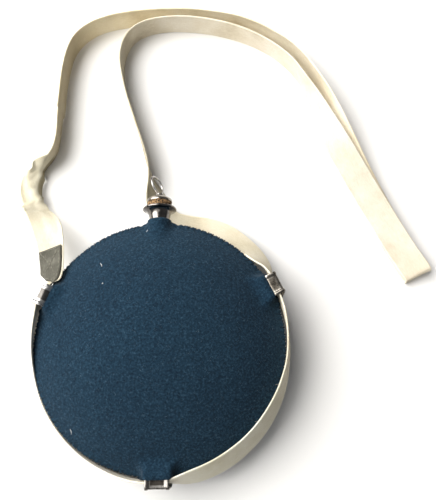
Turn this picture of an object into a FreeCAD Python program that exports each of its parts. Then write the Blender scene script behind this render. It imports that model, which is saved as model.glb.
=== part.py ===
import FreeCAD, Part
import math
import os

# A round, lens-shaped tin canteen in a felt cover, lying on its back, with its neck towards +Y.
# +Z points out of the front face. The origin is the centre of the small flat it rests on.
# All sizes are in millimetres.

# Driving dimensions: the vessel and its cover
COVER_RADIUS = 100.5      # outside of the felt cover at the rim
RIM_Z = 36.0              # height of the plane in which the two dishes meet
FRONT_DOME = 35.0         # the front dome's rise above the rim plane
REST_RADIUS = 32.0        # radius of the flat in the middle of the back
FELT = 1.8                # thickness of the felt
TIN_GAP = 0.1             # between felt and tin
TIN = 0.6                 # thickness of the dishes

# Driving dimensions: neck and stopper, as distances along +Y from the origin
NECK_END_Y = 84.0
COLLAR_TOP_Y = 103.5
LIP_Y = 113.0
LIP_THICKNESS = 1.4
CORK_TOP_Y = 121.0
CORK_BOTTOM_Y = 96.0
CAP_RISE = 6.0
NECK_RADIUS = 8.1
NECK_TOP_RADIUS = 10.4
LIP_RADIUS = 14.2
BORE_RADIUS = 7.2
MOUTH_RADIUS = 9.45
CORK_CLEARANCE = 0.3
CORK_HEAD_RADIUS = 10.2

# Driving dimensions: the pull ring, a wire eye on a straight shank
WIRE_RADIUS = 0.9
RING_RADIUS = 7.6         # to the centre of the wire
SHANK_CLEARANCE = 0.05
RING_TURN = 65.0          # how far the eye is turned about its shank, in degrees
RING_LEAN = 14.0          # how far the eye leans off its shank, towards -X

# Driving dimensions: the three strap loops
LOOP_ANGLES = {"right": 65.0, "bottom": 180.0, "left": 293.5}   # clockwise from the neck
LOOP_WIDTH = 18.0         # along the rim
LOOP_THICKNESS = 0.8
LOOP_HALF_HEIGHT = 14.6   # of the loop, above and below the rim plane
LOOP_REACH = 108.3        # from the canteen's axis to the loop's outer face
FOOT_INNER = 84.0         # where a foot begins, from the canteen's axis
FOOT_OUTER = 91.0
KNEE = 98.5               # where the strip turns level
KNEE_DROP = 0.6           # the knee's height inside the loop's top and bottom
FOOT_LIFT = 0.15          # clearance between foot and tin
SOLDER_MARGIN = 1.2       # how far the solder reaches round a foot
SOLDER_THICKNESS = 0.8
COVER_MARGIN = 1.3        # how far the felt stands back from a foot
SLOT_CLEARANCE = 0.3      # of the felt round the strip
TAB_START = 79.0          # the felt rises over the strip from here to the knee
TAB_END = 98.9

# Driving dimensions: solder at the rim and the neck
BEAD = 0.5                # how far the rim's solder stands out
BEAD_CLEARANCE = 0.65     # radius cleared for it in the felt
NECK_SOLDER = 1.4         # width of the solder round the neck
NECK_CLEARANCE = 1.6      # how far the felt and the rim's solder stand back from the neck

# Driving dimensions: the strap
TAPE_WIDTH = 25.0
TAPE_THICKNESS = 1.8
TAPE_AT_LOOP = 103.6      # from the canteen's axis to the tape's centre inside a loop
ARC_SHARE = 0.45          # how much of the shorter run an arc takes up
STITCHES = 120            # whip stitches round the rim
STITCH_INSET = 4.0        # how far a stitch reaches in from the edge
THREAD_RADIUS = 0.45

FRONT_SPHERE = (COVER_RADIUS ** 2 + FRONT_DOME ** 2) / (2 * FRONT_DOME)
FRONT_CENTRE = RIM_Z + FRONT_DOME - FRONT_SPHERE
BACK_CENTRE = (COVER_RADIUS ** 2 + RIM_Z ** 2 - REST_RADIUS ** 2) / (2 * RIM_Z)
BACK_SPHERE = math.hypot(REST_RADIUS, BACK_CENTRE)
TIN_DEPTH = FELT + TIN_GAP
Z_AXIS = FreeCAD.Vector(0, 0, 1)
Y_AXIS = FreeCAD.Vector(0, 1, 0)

# The strap's free run: x, y, z of its middle line, then the direction across the tape there.
FREE_ROUTE = [
    ((-95.0, 41.3, 36.0), (0, 0, 1)),
    ((-91.5, 49.8, 36.2), (0.2, 0, 1)),
    ((-88.6, 58.5, 37.6), (0.75, 0, 0.75)),
    ((-89.0, 70.0, 38.0), (0.85, 0, 0.5)),
    ((-92.5, 90.0, 34.0), (0.95, 0, 0.3)),
    ((-102.0, 112.0, 24.0), (1, 0.1, -0.3)),
    ((-117.5, 130.5, 13.5), (0.8, -0.35, -0.5)),
    ((-124.5, 148.5, 10.2), (0.7, -0.4, -0.6)),
    ((-117.0, 165.5, 12.8), (0.25, -0.1, -1)),
    ((-103.5, 183.0, 12.9), (-0.15, 0, -1)),
    ((-95.5, 218.0, 12.8), (-0.05, 0, -1)),
    ((-94.5, 262.0, 12.7), (0, 0, -1)),
    ((-87.0, 298.0, 12.7), (0, 0, -1)),
    ((-62.0, 318.0, 12.7), (0, 0, -1)),
    ((-20.0, 324.5, 12.7), (0, 0, -1)),
    ((35.0, 325.0, 12.7), (0, 0, -1)),
    ((85.0, 312.0, 12.7), (0, 0, -1)),
    ((128.0, 283.0, 12.7), (0, 0, -1)),
    ((150.0, 245.0, 12.7), (0, 0, -1)),
    ((158.5, 210.0, 12.5), (-0.4, -0.2, -1)),
    ((171.5, 170.0, 9.0), (-0.8, -0.3, -0.6)),
    ((188.0, 130.0, 4.8), (-0.9, -0.4, -0.25)),
    ((205.0, 92.0, 4.4), (-0.9, -0.4, -0.25)),
    ((214.5, 71.5, 4.2), (-0.9, -0.4, -0.2)),
    ((219.3, 62.0, 3.6), (-0.9, -0.4, -0.2)),
    ((221.8, 56.8, 3.6), (-0.9, -0.4, -0.2)),
    ((221.8, 56.8, 9.2), (-0.9, -0.4, -0.2)),
    ((219.3, 62.0, 9.2), (-0.9, -0.4, -0.2)),
    ((214.0, 71.5, 8.8), (-0.9, -0.4, -0.2)),
    ((203.5, 92.0, 8.6), (-0.9, -0.4, -0.25)),
    ((185.5, 130.0, 8.9), (-0.9, -0.4, -0.25)),
    ((167.0, 168.0, 12.2), (-0.8, -0.3, -0.6)),
    ((150.0, 205.0, 13.6), (-0.4, -0.2, -1)),
    ((139.0, 240.0, 12.7), (0, 0, -1)),
    ((118.5, 275.0, 12.7), (0, 0, -1)),
    ((80.0, 302.0, 12.7), (0, 0, -1)),
    ((33.0, 315.5, 12.7), (0, 0, -1)),
    ((-8.0, 316.0, 12.7), (0, 0, -1)),
    ((-32.0, 304.0, 12.7), (0, 0, -1)),
    ((-41.0, 278.0, 12.7), (0, 0, -1)),
    ((-36.5, 245.0, 12.7), (0, 0, -1)),
    ((-22.0, 200.0, 12.9), (0, 0, -1)),
    ((-11.5, 160.0, 12.9), (0.4, 0, -1)),
    ((-6.0, 133.0, 6.8), (1, 0.1, -0.3)),
    ((2.0, 113.0, 2.6), (0.9, 0.4, 0)),
    ((20.0, 106.5, 4.0), (0.3, 0.9, 0)),
    ((40.0, 103.5, 9.5), (0.2, 0.9, -0.25)),
    ((59.0, 95.0, 17.0), (0.4, 0.7, -0.6)),
    ((76.0, 79.0, 25.0), (0.4, 0.4, -0.8)),
    ((87.0, 64.0, 31.5), (0.15, 0.1, -1)),
    ((91.0, 51.5, 35.6), (0, 0, -1)),
    ((93.9, 43.8, 36.0), (0, 0, -1)),
]

# The strap's stretch round the rim: its top edge leans in over the front between the right and
# bottom loops, and it has slipped down the back between the bottom and left loops.
RIM_STEP = 11.5
RIM_LEAN = 22.0
LEANING_INWARD = 0.6
SLIPPED_LEAN = -20.0
SLIPPED_DROP = 14.0
SLIPPED_INWARD = 4.3
LAP_START = 13.0          # where the sewn lap begins, from the middle of the left loop
LAP_LENGTH = 24.0
LAP_WIDTH = 23.0
LAP_STITCHES = 7


def vector(values):
    return FreeCAD.Vector(*values)


def front_z(radius, depth):
    """Height of the front dome at a radius, for the surface at this depth below the felt."""
    return FRONT_CENTRE + math.sqrt((FRONT_SPHERE - depth) ** 2 - radius ** 2)


def back_z(radius, depth):
    """Height of the back dome at a radius, for the surface at this depth below the felt."""
    return BACK_CENTRE - math.sqrt((BACK_SPHERE - depth) ** 2 - radius ** 2)


def front_rim(depth):
    return math.sqrt((FRONT_SPHERE - depth) ** 2 - (RIM_Z - FRONT_CENTRE) ** 2)


def back_rim(depth):
    return math.sqrt((BACK_SPHERE - depth) ** 2 - (BACK_CENTRE - RIM_Z) ** 2)


def back_flat(depth):
    return math.sqrt((BACK_SPHERE - depth) ** 2 - (BACK_CENTRE - depth) ** 2)


def front_arc(depth):
    """Half of the front dome's section in the XZ plane, from the axis to the rim."""
    rim = front_rim(depth)
    middle = rim / 2
    return Part.Arc(FreeCAD.Vector(0, 0, front_z(0, depth)),
                    FreeCAD.Vector(middle, 0, front_z(middle, depth)),
                    FreeCAD.Vector(rim, 0, RIM_Z)).toShape()


def back_arc(depth):
    """The back dome's section in the XZ plane, from the edge of the flat to the rim."""
    flat = back_flat(depth)
    rim = back_rim(depth)
    middle = (flat + rim) / 2
    return Part.Arc(FreeCAD.Vector(flat, 0, depth),
                    FreeCAD.Vector(middle, 0, back_z(middle, depth)),
                    FreeCAD.Vector(rim, 0, RIM_Z)).toShape()


def line(start, end):
    return Part.LineSegment(vector(start), vector(end)).toShape()


def revolve(edges, axis):
    """Turn a closed outline once round an axis through the origin, or through the neck."""
    base = FreeCAD.Vector(0, 0, 0) if axis == Z_AXIS else FreeCAD.Vector(0, 0, RIM_Z)
    face = Part.Face(Part.Wire(Part.__sortEdges__(edges)))
    return face.revolve(base, axis, 360)


def front_layer(outer, inner):
    """The front dome between two depths below the felt's outside."""
    return revolve([
        front_arc(outer),
        line((front_rim(outer), 0, RIM_Z), (front_rim(inner), 0, RIM_Z)),
        front_arc(inner),
        line((0, 0, front_z(0, inner)), (0, 0, front_z(0, outer))),
    ], Z_AXIS)


def back_layer(outer, inner):
    """The back dome between two depths below the felt's outside."""
    return revolve([
        line((0, 0, outer), (back_flat(outer), 0, outer)),
        back_arc(outer),
        line((back_rim(outer), 0, RIM_Z), (back_rim(inner), 0, RIM_Z)),
        back_arc(inner),
        line((back_flat(inner), 0, inner), (0, 0, inner)),
        line((0, 0, inner), (0, 0, outer)),
    ], Z_AXIS)


def lens(depth):
    """The whole space inside the surface at this depth below the felt's outside."""
    front = revolve([
        front_arc(depth),
        line((front_rim(depth), 0, RIM_Z), (0, 0, RIM_Z)),
        line((0, 0, RIM_Z), (0, 0, front_z(0, depth))),
    ], Z_AXIS)
    back = revolve([
        line((0, 0, depth), (back_flat(depth), 0, depth)),
        back_arc(depth),
        line((back_rim(depth), 0, RIM_Z), (0, 0, RIM_Z)),
        line((0, 0, RIM_Z), (0, 0, depth)),
    ], Z_AXIS)
    return front.fuse(back)


def turned(outline):
    """A solid turned about the neck's axis from (y, radius) points."""
    points = [(radius, y, RIM_Z) for y, radius in outline]
    edges = [line(start, end) for start, end in zip(points, points[1:] + points[:1])]
    return revolve(edges, Y_AXIS)


def neck_cylinder(radius, start, end):
    return Part.makeCylinder(radius, end - start, FreeCAD.Vector(0, start, RIM_Z), Y_AXIS)


def place_at_rim(shape, angle):
    """Turn a shape made at the neck clockwise round the canteen to this angle."""
    placed = shape.copy()
    placed.rotate(FreeCAD.Vector(0, 0, 0), Z_AXIS, -angle)
    return placed


# The strap loops

def side_offsets(points, distance):
    """An open line's points moved sideways, with mitred corners."""
    moved = []
    for index, (radius, z) in enumerate(points):
        before = points[max(index - 1, 0)]
        after = points[min(index + 1, len(points) - 1)]
        turns = []
        for start, end in ((before, (radius, z)), ((radius, z), after)):
            length = math.hypot(end[0] - start[0], end[1] - start[1])
            if length > 0:
                turns.append(((start[1] - end[1]) / length, (end[0] - start[0]) / length))
        across = (sum(turn[0] for turn in turns), sum(turn[1] for turn in turns))
        scale = distance * len(turns) / (across[0] ** 2 + across[1] ** 2)
        moved.append((radius + across[0] * scale, z + across[1] * scale))
    return moved


def loop_line():
    """The middle of the loop's strip in the radius-height plane, from front foot to back foot."""
    lift = TIN_DEPTH - LOOP_THICKNESS / 2 - FOOT_LIFT
    reach = LOOP_REACH - LOOP_THICKNESS / 2
    half = LOOP_HALF_HEIGHT - LOOP_THICKNESS / 2
    return [
        (FOOT_INNER, front_z(FOOT_INNER, lift)),
        (FOOT_OUTER, front_z(FOOT_OUTER, lift)),
        (KNEE, RIM_Z + half - KNEE_DROP),
        (reach, RIM_Z + half),
        (reach, RIM_Z - half),
        (KNEE, RIM_Z - half + KNEE_DROP),
        (FOOT_OUTER, back_z(FOOT_OUTER, lift)),
        (FOOT_INNER, back_z(FOOT_INNER, lift)),
    ]


def loop_strip(thickness, width):
    """One loop at the neck's place, of strip this thick and this wide along the rim."""
    middle = loop_line()
    outline = side_offsets(middle, thickness / 2) + side_offsets(middle, -thickness / 2)[::-1]
    corners = [FreeCAD.Vector(-width / 2, radius, z) for radius, z in outline]
    face = Part.Face(Part.makePolygon(corners + corners[:1]))
    return face.extrude(FreeCAD.Vector(width, 0, 0))


def foot_block(margin, depth):
    """The space round both feet of one loop, from inside the tin out to a depth below the felt."""
    width = LOOP_WIDTH + 2 * margin
    block = Part.makeBox(width, FOOT_OUTER - FOOT_INNER + 2 * margin, 2 * RIM_Z,
                         FreeCAD.Vector(-width / 2, FOOT_INNER - margin, 0))
    return block.common(lens(depth))


def strap_loop(angle):
    return place_at_rim(loop_strip(LOOP_THICKNESS, LOOP_WIDTH), angle)


def loop_solder():
    """Solder round the feet of the three loops, as six separate pads."""
    block = foot_block(SOLDER_MARGIN, TIN_DEPTH - SOLDER_THICKNESS).cut(lens(TIN_DEPTH))
    pad = block.cut(loop_strip(LOOP_THICKNESS, LOOP_WIDTH))
    pads = [place_at_rim(pad, angle) for angle in LOOP_ANGLES.values()]
    return Part.makeCompound([solid for each in pads for solid in each.Solids])


# The vessel and its cover

def shell_cut(shell):
    return shell.cut(neck_cylinder(NECK_RADIUS, NECK_END_Y - 4, COVER_RADIUS + 4))


def front_shell():
    return shell_cut(front_layer(TIN_DEPTH, TIN_DEPTH + TIN))


def back_shell():
    return shell_cut(back_layer(TIN_DEPTH, TIN_DEPTH + TIN))


def rim_solder():
    """The bead over the edges of the two dishes."""
    front = front_rim(TIN_DEPTH)
    back = back_rim(TIN_DEPTH)
    outline = [
        (front, 0, RIM_Z),
        (front - 0.2, 0, front_z(front - 0.2, TIN_DEPTH)),
        (back + 0.1, 0, RIM_Z + BEAD - 0.05),
        (back + BEAD, 0, RIM_Z),
        (back + 0.1, 0, RIM_Z - BEAD + 0.05),
        (back - 0.3, 0, back_z(back - 0.3, TIN_DEPTH)),
        (back, 0, RIM_Z),
    ]
    edges = [line(start, end) for start, end in zip(outline, outline[1:] + outline[:1])]
    bead = revolve(edges, Z_AXIS)
    return bead.cut(neck_cylinder(NECK_RADIUS + NECK_CLEARANCE, NECK_END_Y, COVER_RADIUS + 4))


def cover_tab(surface_z, outline):
    """The felt over one ramp of a loop's strip, at the neck's place."""
    ramp, knee, reach = outline[1:4]
    share = (TAB_END - knee[0]) / (reach[0] - knee[0])
    rooted = FELT / 2
    section = [
        (TAB_START, surface_z(TAB_START, rooted)),
        ramp,
        knee,
        (TAB_END, knee[1] + (reach[1] - knee[1]) * share),
        (TAB_END, surface_z(TAB_END, rooted)),
        (FOOT_OUTER, surface_z(FOOT_OUTER, rooted)),
    ]
    width = LOOP_WIDTH + 2 * (SLOT_CLEARANCE + FELT)
    corners = [FreeCAD.Vector(-width / 2, radius, z) for radius, z in section]
    return Part.Face(Part.makePolygon(corners + corners[:1])).extrude(FreeCAD.Vector(width, 0, 0))


def cover(layer, surface_z, outline):
    """One felt half, risen over the loops' strips, open for them, the neck and the solder."""
    half = layer.cut(neck_cylinder(NECK_RADIUS + NECK_CLEARANCE, NECK_END_Y - 6, COVER_RADIUS + 4))
    seam = FreeCAD.Vector(0, 0, RIM_Z)
    half = half.cut(Part.makeTorus(back_rim(TIN_DEPTH), BEAD_CLEARANCE, seam, Z_AXIS))
    tab = cover_tab(surface_z, outline)
    slot = loop_strip(LOOP_THICKNESS + 2 * SLOT_CLEARANCE, LOOP_WIDTH + 2 * SLOT_CLEARANCE)
    slot = slot.fuse(foot_block(COVER_MARGIN, TIN_DEPTH - SOLDER_THICKNESS - 0.1))
    for angle in LOOP_ANGLES.values():
        half = half.fuse(place_at_rim(tab, angle)).cut(place_at_rim(slot, angle))
    return max(half.Solids, key=lambda solid: solid.Volume)


def cover_front():
    strip_top = side_offsets(loop_line(), LOOP_THICKNESS / 2 + SLOT_CLEARANCE + FELT)
    return cover(front_layer(0, FELT), front_z, strip_top)


def cover_back():
    strip_top = side_offsets(loop_line(), LOOP_THICKNESS / 2 + SLOT_CLEARANCE + FELT)
    return cover(back_layer(0, FELT), back_z, strip_top[::-1])


def cover_collar():
    """The felt band sewn round the foot of the neck."""
    ring = turned([
        (NECK_END_Y, NECK_RADIUS + 0.1),
        (COLLAR_TOP_Y, NECK_RADIUS + 0.1),
        (COLLAR_TOP_Y, NECK_RADIUS + 1.3),
        (COLLAR_TOP_Y - 0.6, NECK_RADIUS + FELT),
        (NECK_END_Y, NECK_RADIUS + FELT + 0.3),
    ])
    return ring.cut(lens(-0.05))


def rim_stitch():
    """One whip stitch over the edge at the neck's place, lying on the felt."""
    above = -THREAD_RADIUS - 0.1
    front_radius = COVER_RADIUS - STITCH_INSET
    back_radius = COVER_RADIUS - STITCH_INSET * 0.9
    edge = FreeCAD.Vector(0, COVER_RADIUS + THREAD_RADIUS + 0.25, RIM_Z)
    top = FreeCAD.Vector(-0.9, front_radius, front_z(front_radius, above))
    bottom = FreeCAD.Vector(0.9, back_radius, back_z(back_radius, above))
    parts = [Part.makeSphere(THREAD_RADIUS, edge)]
    for end in (top, bottom):
        reach = end - edge
        parts.append(Part.makeCylinder(THREAD_RADIUS, reach.Length, edge, reach))
    return parts[0].multiFuse(parts[1:])


def rim_stitches():
    """The whip stitches, leaving out those at the neck and at the loops."""
    stitch = rim_stitch()
    kept = []
    for index in range(STITCHES):
        angle = 360.0 * index / STITCHES
        from_loop = min(abs(angle - place) for place in LOOP_ANGLES.values())
        from_neck = min(angle, 360 - angle)
        if from_loop > 8.0 and from_neck > 7.5:
            kept.append(place_at_rim(stitch, angle))
    return Part.makeCompound(kept)


# Neck and stopper

def spout():
    lip_top = LIP_Y + LIP_THICKNESS
    return turned([
        (NECK_END_Y, BORE_RADIUS),
        (NECK_END_Y, NECK_RADIUS - 0.05),
        (COLLAR_TOP_Y, NECK_RADIUS),
        (LIP_Y - 1, NECK_TOP_RADIUS - 0.1),
        (LIP_Y, NECK_TOP_RADIUS + 0.8),
        (LIP_Y, LIP_RADIUS - 0.4),
        (LIP_Y + 0.4, LIP_RADIUS),
        (lip_top - 0.4, LIP_RADIUS),
        (lip_top, LIP_RADIUS - 0.5),
        (lip_top, MOUTH_RADIUS + 0.3),
        (lip_top - 0.4, MOUTH_RADIUS),
        (COLLAR_TOP_Y, BORE_RADIUS),
    ])


def spout_solder():
    ring = turned([
        (NECK_END_Y, NECK_RADIUS),
        (COVER_RADIUS, NECK_RADIUS),
        (COVER_RADIUS, NECK_RADIUS + NECK_SOLDER),
        (NECK_END_Y, NECK_RADIUS + NECK_SOLDER),
    ])
    return ring.common(lens(0.4)).cut(lens(TIN_DEPTH))


def stopper_bore(start, end):
    return neck_cylinder(WIRE_RADIUS + SHANK_CLEARANCE, start, end)


def stopper_cork():
    lip_top = LIP_Y + LIP_THICKNESS
    inner = CORK_CLEARANCE
    cork = turned([
        (CORK_BOTTOM_Y, 0),
        (CORK_BOTTOM_Y, BORE_RADIUS - inner - 0.5),
        (CORK_BOTTOM_Y + 0.6, BORE_RADIUS - inner - 0.1),
        (COLLAR_TOP_Y, BORE_RADIUS - inner),
        (lip_top - 0.4, MOUTH_RADIUS - inner),
        (lip_top + inner, MOUTH_RADIUS),
        (lip_top + 1.2, CORK_HEAD_RADIUS - 0.1),
        (CORK_TOP_Y, CORK_HEAD_RADIUS),
        (CORK_TOP_Y, 0),
    ])
    return cork.cut(stopper_bore(CORK_BOTTOM_Y - 1, CORK_TOP_Y + 1))


def cap_arc(radius, base, rise):
    """Half a low dome's section over the cork, from the rim to the axis."""
    sphere = (radius ** 2 + rise ** 2) / (2 * rise)
    centre = base + rise - sphere
    middle = radius * 0.6
    return Part.Arc(FreeCAD.Vector(radius, base, RIM_Z),
                    FreeCAD.Vector(middle, centre + math.sqrt(sphere ** 2 - middle ** 2), RIM_Z),
                    FreeCAD.Vector(0, base + rise, RIM_Z)).toShape()


def stopper_cap():
    """The tin dome on top of the cork."""
    radius = CORK_HEAD_RADIUS + 0.2
    outline = [
        cap_arc(radius, CORK_TOP_Y + 0.8, CAP_RISE - 0.8),
        line((0, CORK_TOP_Y + CAP_RISE, RIM_Z), (0, CORK_TOP_Y, RIM_Z)),
        line((0, CORK_TOP_Y, RIM_Z), (radius, CORK_TOP_Y, RIM_Z)),
        line((radius, CORK_TOP_Y, RIM_Z), (radius, CORK_TOP_Y + 0.8, RIM_Z)),
    ]
    return revolve(outline, Y_AXIS).cut(stopper_bore(CORK_TOP_Y - 1, CORK_TOP_Y + CAP_RISE + 1))


def stopper_washer():
    """The tin disc under the cork."""
    disc = neck_cylinder(BORE_RADIUS - 1.4, CORK_BOTTOM_Y - 0.8, CORK_BOTTOM_Y)
    return disc.cut(stopper_bore(CORK_BOTTOM_Y - 2, CORK_BOTTOM_Y + 1))


def pull_ring():
    """The wire eye and its shank, which runs right through the stopper."""
    cap_top = CORK_TOP_Y + CAP_RISE
    centre = FreeCAD.Vector(0, cap_top + 0.4 + WIRE_RADIUS + RING_RADIUS, RIM_Z)
    eye = Part.makeTorus(RING_RADIUS, WIRE_RADIUS, centre, Z_AXIS)
    eye.rotate(centre, Y_AXIS, RING_TURN)
    foot = centre.y - RING_RADIUS
    eye.rotate(FreeCAD.Vector(0, foot, RIM_Z), Z_AXIS, RING_LEAN)
    return eye.fuse(neck_cylinder(WIRE_RADIUS, CORK_BOTTOM_Y - 1.8, foot + 0.3))


def shank_clinch():
    """The round head that the shank is clinched into, under the washer."""
    head = neck_cylinder(2.4, CORK_BOTTOM_Y - 2.0, CORK_BOTTOM_Y - 0.95)
    return head.cut(neck_cylinder(WIRE_RADIUS, CORK_BOTTOM_Y - 1.8, CORK_BOTTOM_Y))


# The strap

def rim_route():
    """The stretch from the right loop by the bottom loop to the left one."""
    route = []
    right, bottom, left = (LOOP_ANGLES[place] for place in ("right", "bottom", "left"))
    steps = round((left - right) / RIM_STEP)
    spread = 1 / math.cos(math.radians(RIM_STEP / 2))
    for index in range(steps + 1):
        angle = right + (left - right) * index / steps
        if angle < bottom:
            share = math.sin(math.pi * (angle - right) / (bottom - right)) ** 2
            lean = math.radians(RIM_LEAN * share)
            radius = TAPE_AT_LOOP - LEANING_INWARD * share
            height = RIM_Z
        else:
            share = math.sin(math.pi * (angle - bottom) / (left - bottom)) ** 2
            lean = math.radians(SLIPPED_LEAN * share)
            radius = TAPE_AT_LOOP - SLIPPED_INWARD * share
            height = RIM_Z - SLIPPED_DROP * share
        if index not in (0, steps):
            radius *= spread
        turn = math.radians(angle)
        across = (math.sin(turn) * math.sin(lean), math.cos(turn) * math.sin(lean), -math.cos(lean))
        route.append(((math.sin(turn) * radius, math.cos(turn) * radius, height), across))
    return route


def rounded_stations(route):
    """Places along a route of runs and tangent arcs: point, tangent and direction across."""
    points = [vector(point) for point, across in route]
    sides = [vector(across) for point, across in route]
    stations = []
    radii = []
    for index in range(len(points)):
        if index in (0, len(points) - 1):
            neighbour = points[1] if index == 0 else points[-2]
            tangent = (neighbour - points[index]) * (1 if index == 0 else -1)
            stations.append((points[index], tangent.normalize(), sides[index]))
            continue
        before = points[index] - points[index - 1]
        after = points[index + 1] - points[index]
        turn = before.getAngle(after)
        reach = ARC_SHARE * min(before.Length, after.Length)
        radius = reach / math.tan(turn / 2) if turn > 1e-4 else 0
        if radius:
            radii.append(radius)
        start = points[index] - before.normalize() * reach
        normal = before.cross(after)
        steps = max(2, math.ceil(math.degrees(turn) / 8))
        centre = start + normal.cross(before).normalize() * radius if radius else start
        for step in range(steps + 1):
            share = step / steps
            if radius:
                rotation = FreeCAD.Rotation(normal, math.degrees(turn) * share)
                place = centre + rotation.multVec(start - centre)
                tangent = rotation.multVec(before)
            else:
                place = start + before * (2 * reach * share)
                tangent = FreeCAD.Vector(before)
            nearby = sides[index - 1] if share < 0.5 else sides[index + 1]
            weight = 1 - ARC_SHARE * abs(2 * share - 1)
            across = sides[index] * weight + nearby * (1 - weight)
            stations.append((place, tangent, across))
    return stations, radii


def tape(stations, width, thickness, lift=0.0):
    """A flat band through the stations, moved off its middle plane by the lift."""
    rings = []
    for place, tangent, across in stations:
        side = (across - tangent * across.dot(tangent)).normalize() * (width / 2)
        normal = tangent.cross(side).normalize()
        low = normal * (lift - thickness / 2)
        high = normal * (lift + thickness / 2)
        corners = [place - side + low, place + side + low, place + side + high, place - side + high]
        rings.append(Part.makePolygon(corners + corners[:1]))
    return Part.makeLoft(rings, True, True)


def station_length(stations):
    return sum(end[0].distanceToPoint(start[0]) for start, end in zip(stations, stations[1:]))


def station_at(stations, distance):
    """The place this far along the stations, between the two nearest ones."""
    for start, end in zip(stations, stations[1:]):
        gap = end[0].distanceToPoint(start[0])
        if distance <= gap:
            share = distance / gap
            mixed = [start[part] * (1 - share) + end[part] * share for part in range(3)]
            return mixed[0], mixed[1].normalize(), mixed[2]
        distance -= gap
    return stations[-1]


def lap_stations(stations):
    count = 8
    return [station_at(stations, LAP_START + LAP_LENGTH * step / count) for step in range(count + 1)]


def lap_lift():
    """The lap lies on the tape's outer face."""
    return -TAPE_THICKNESS / 2 - 0.7


def strap_lap(stations):
    """The strap's free end, doubled over the tape and sewn down."""
    return tape(lap_stations(stations), LAP_WIDTH, 1.2, lap_lift())


def lap_stitch(stations, start, end):
    """One stitch on the lap between two places, given as distance along and across."""
    ends = []
    for distance, offset in (start, end):
        place, tangent, across = station_at(stations, distance)
        side = (across - tangent * across.dot(tangent)).normalize()
        ends.append(place + side * offset + tangent.cross(side).normalize() * (lap_lift() - 0.95))
    reach = ends[1] - ends[0]
    return Part.makeCylinder(0.3, reach.Length, ends[0], reach)


def lap_stitching(stations):
    """Rows of stitches along the lap's long sides, across its ends, and on its diagonals."""
    low = LAP_START + 2
    high = LAP_START + LAP_LENGTH - 2
    half = LAP_WIDTH / 2 - 2
    rows = [
        ((low, -half), (high, -half)),
        ((low, half), (high, half)),
        ((low, -half + 2), (low, half - 2)),
        ((high, -half + 2), (high, half - 2)),
        ((low + 2, -half + 2), (high - 2, half - 2)),
    ]
    stitches = []
    for start, end in rows:
        for index in range(LAP_STITCHES):
            shares = ((index + 0.2) / LAP_STITCHES, (index + 0.8) / LAP_STITCHES)
            ends = [tuple(a + (b - a) * share for a, b in zip(start, end)) for share in shares]
            stitches.append(lap_stitch(stations, *ends))
    return Part.makeCompound(stitches)


free_stations, free_radii = rounded_stations(FREE_ROUTE)
rim_stations, rim_radii = rounded_stations(rim_route())

nodes = {
    "front_shell": front_shell(),
    "back_shell": back_shell(),
    "rim_solder": rim_solder(),
    "spout": spout(),
    "spout_solder": spout_solder(),
    "loop_solder": loop_solder(),
    "cover_front": cover_front(),
    "cover_back": cover_back(),
    "cover_collar": cover_collar(),
    "cover_stitches": rim_stitches(),
    "stopper_cork": stopper_cork(),
    "stopper_cap": stopper_cap(),
    "stopper_washer": stopper_washer(),
    "pull_ring": pull_ring(),
    "shank_clinch": shank_clinch(),
    "strap_free_run": tape(free_stations, TAPE_WIDTH, TAPE_THICKNESS),
    "strap_rim_run": tape(rim_stations, TAPE_WIDTH, TAPE_THICKNESS),
    "strap_lap": strap_lap(free_stations),
    "strap_lap_stitches": lap_stitching(free_stations),
}
for place, angle in LOOP_ANGLES.items():
    nodes["strap_loop_" + place] = strap_loop(angle)

os.makedirs("parts", exist_ok=True)
for name, shape in nodes.items():
    shape.exportStep("parts/" + name + ".step")
    box = shape.BoundBox
    print(f"{name}: {len(shape.Solids)} solids, {shape.Volume:.0f} mm3, valid {shape.isValid()},"
          f" x {box.XMin:.1f} {box.XMax:.1f}, y {box.YMin:.1f} {box.YMax:.1f},"
          f" z {box.ZMin:.1f} {box.ZMax:.1f}")

runs = {"free run": (free_stations, free_radii), "rim run": (rim_stations, rim_radii)}
for label, (stations, radii) in runs.items():
    length = station_length(stations)
    print(f"strap {label}: {length:.0f} mm long,"
          f" section times length {length * TAPE_WIDTH * TAPE_THICKNESS:.0f} mm3,"
          f" radii {', '.join(f'{radius:.0f}' for radius in radii)}")
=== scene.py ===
import bmesh
import bpy
import math
import random
from mathutils import Matrix, Vector, noise


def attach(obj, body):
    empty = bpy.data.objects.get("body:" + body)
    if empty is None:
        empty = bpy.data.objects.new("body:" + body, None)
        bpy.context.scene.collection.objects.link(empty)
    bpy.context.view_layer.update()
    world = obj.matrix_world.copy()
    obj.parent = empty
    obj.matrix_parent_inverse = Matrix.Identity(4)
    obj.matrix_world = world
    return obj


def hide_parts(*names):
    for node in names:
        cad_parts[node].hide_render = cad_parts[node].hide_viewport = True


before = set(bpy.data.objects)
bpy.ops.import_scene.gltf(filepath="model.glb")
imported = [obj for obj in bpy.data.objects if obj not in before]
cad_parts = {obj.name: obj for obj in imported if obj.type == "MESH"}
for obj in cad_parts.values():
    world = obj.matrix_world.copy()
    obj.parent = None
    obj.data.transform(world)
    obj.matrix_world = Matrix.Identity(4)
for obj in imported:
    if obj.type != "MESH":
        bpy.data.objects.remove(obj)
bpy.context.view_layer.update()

# The covered vessel, as in the CAD: sizes in metres, and the same front and back domes.
COVER_RADIUS = 0.1005
RIM_Z = 0.036
FRONT_DOME = 0.035
REST_RADIUS = 0.032
FRONT_SPHERE = (COVER_RADIUS ** 2 + FRONT_DOME ** 2) / (2 * FRONT_DOME)
FRONT_CENTRE = RIM_Z + FRONT_DOME - FRONT_SPHERE
BACK_CENTRE = (COVER_RADIUS ** 2 + RIM_Z ** 2 - REST_RADIUS ** 2) / (2 * RIM_Z)
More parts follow.
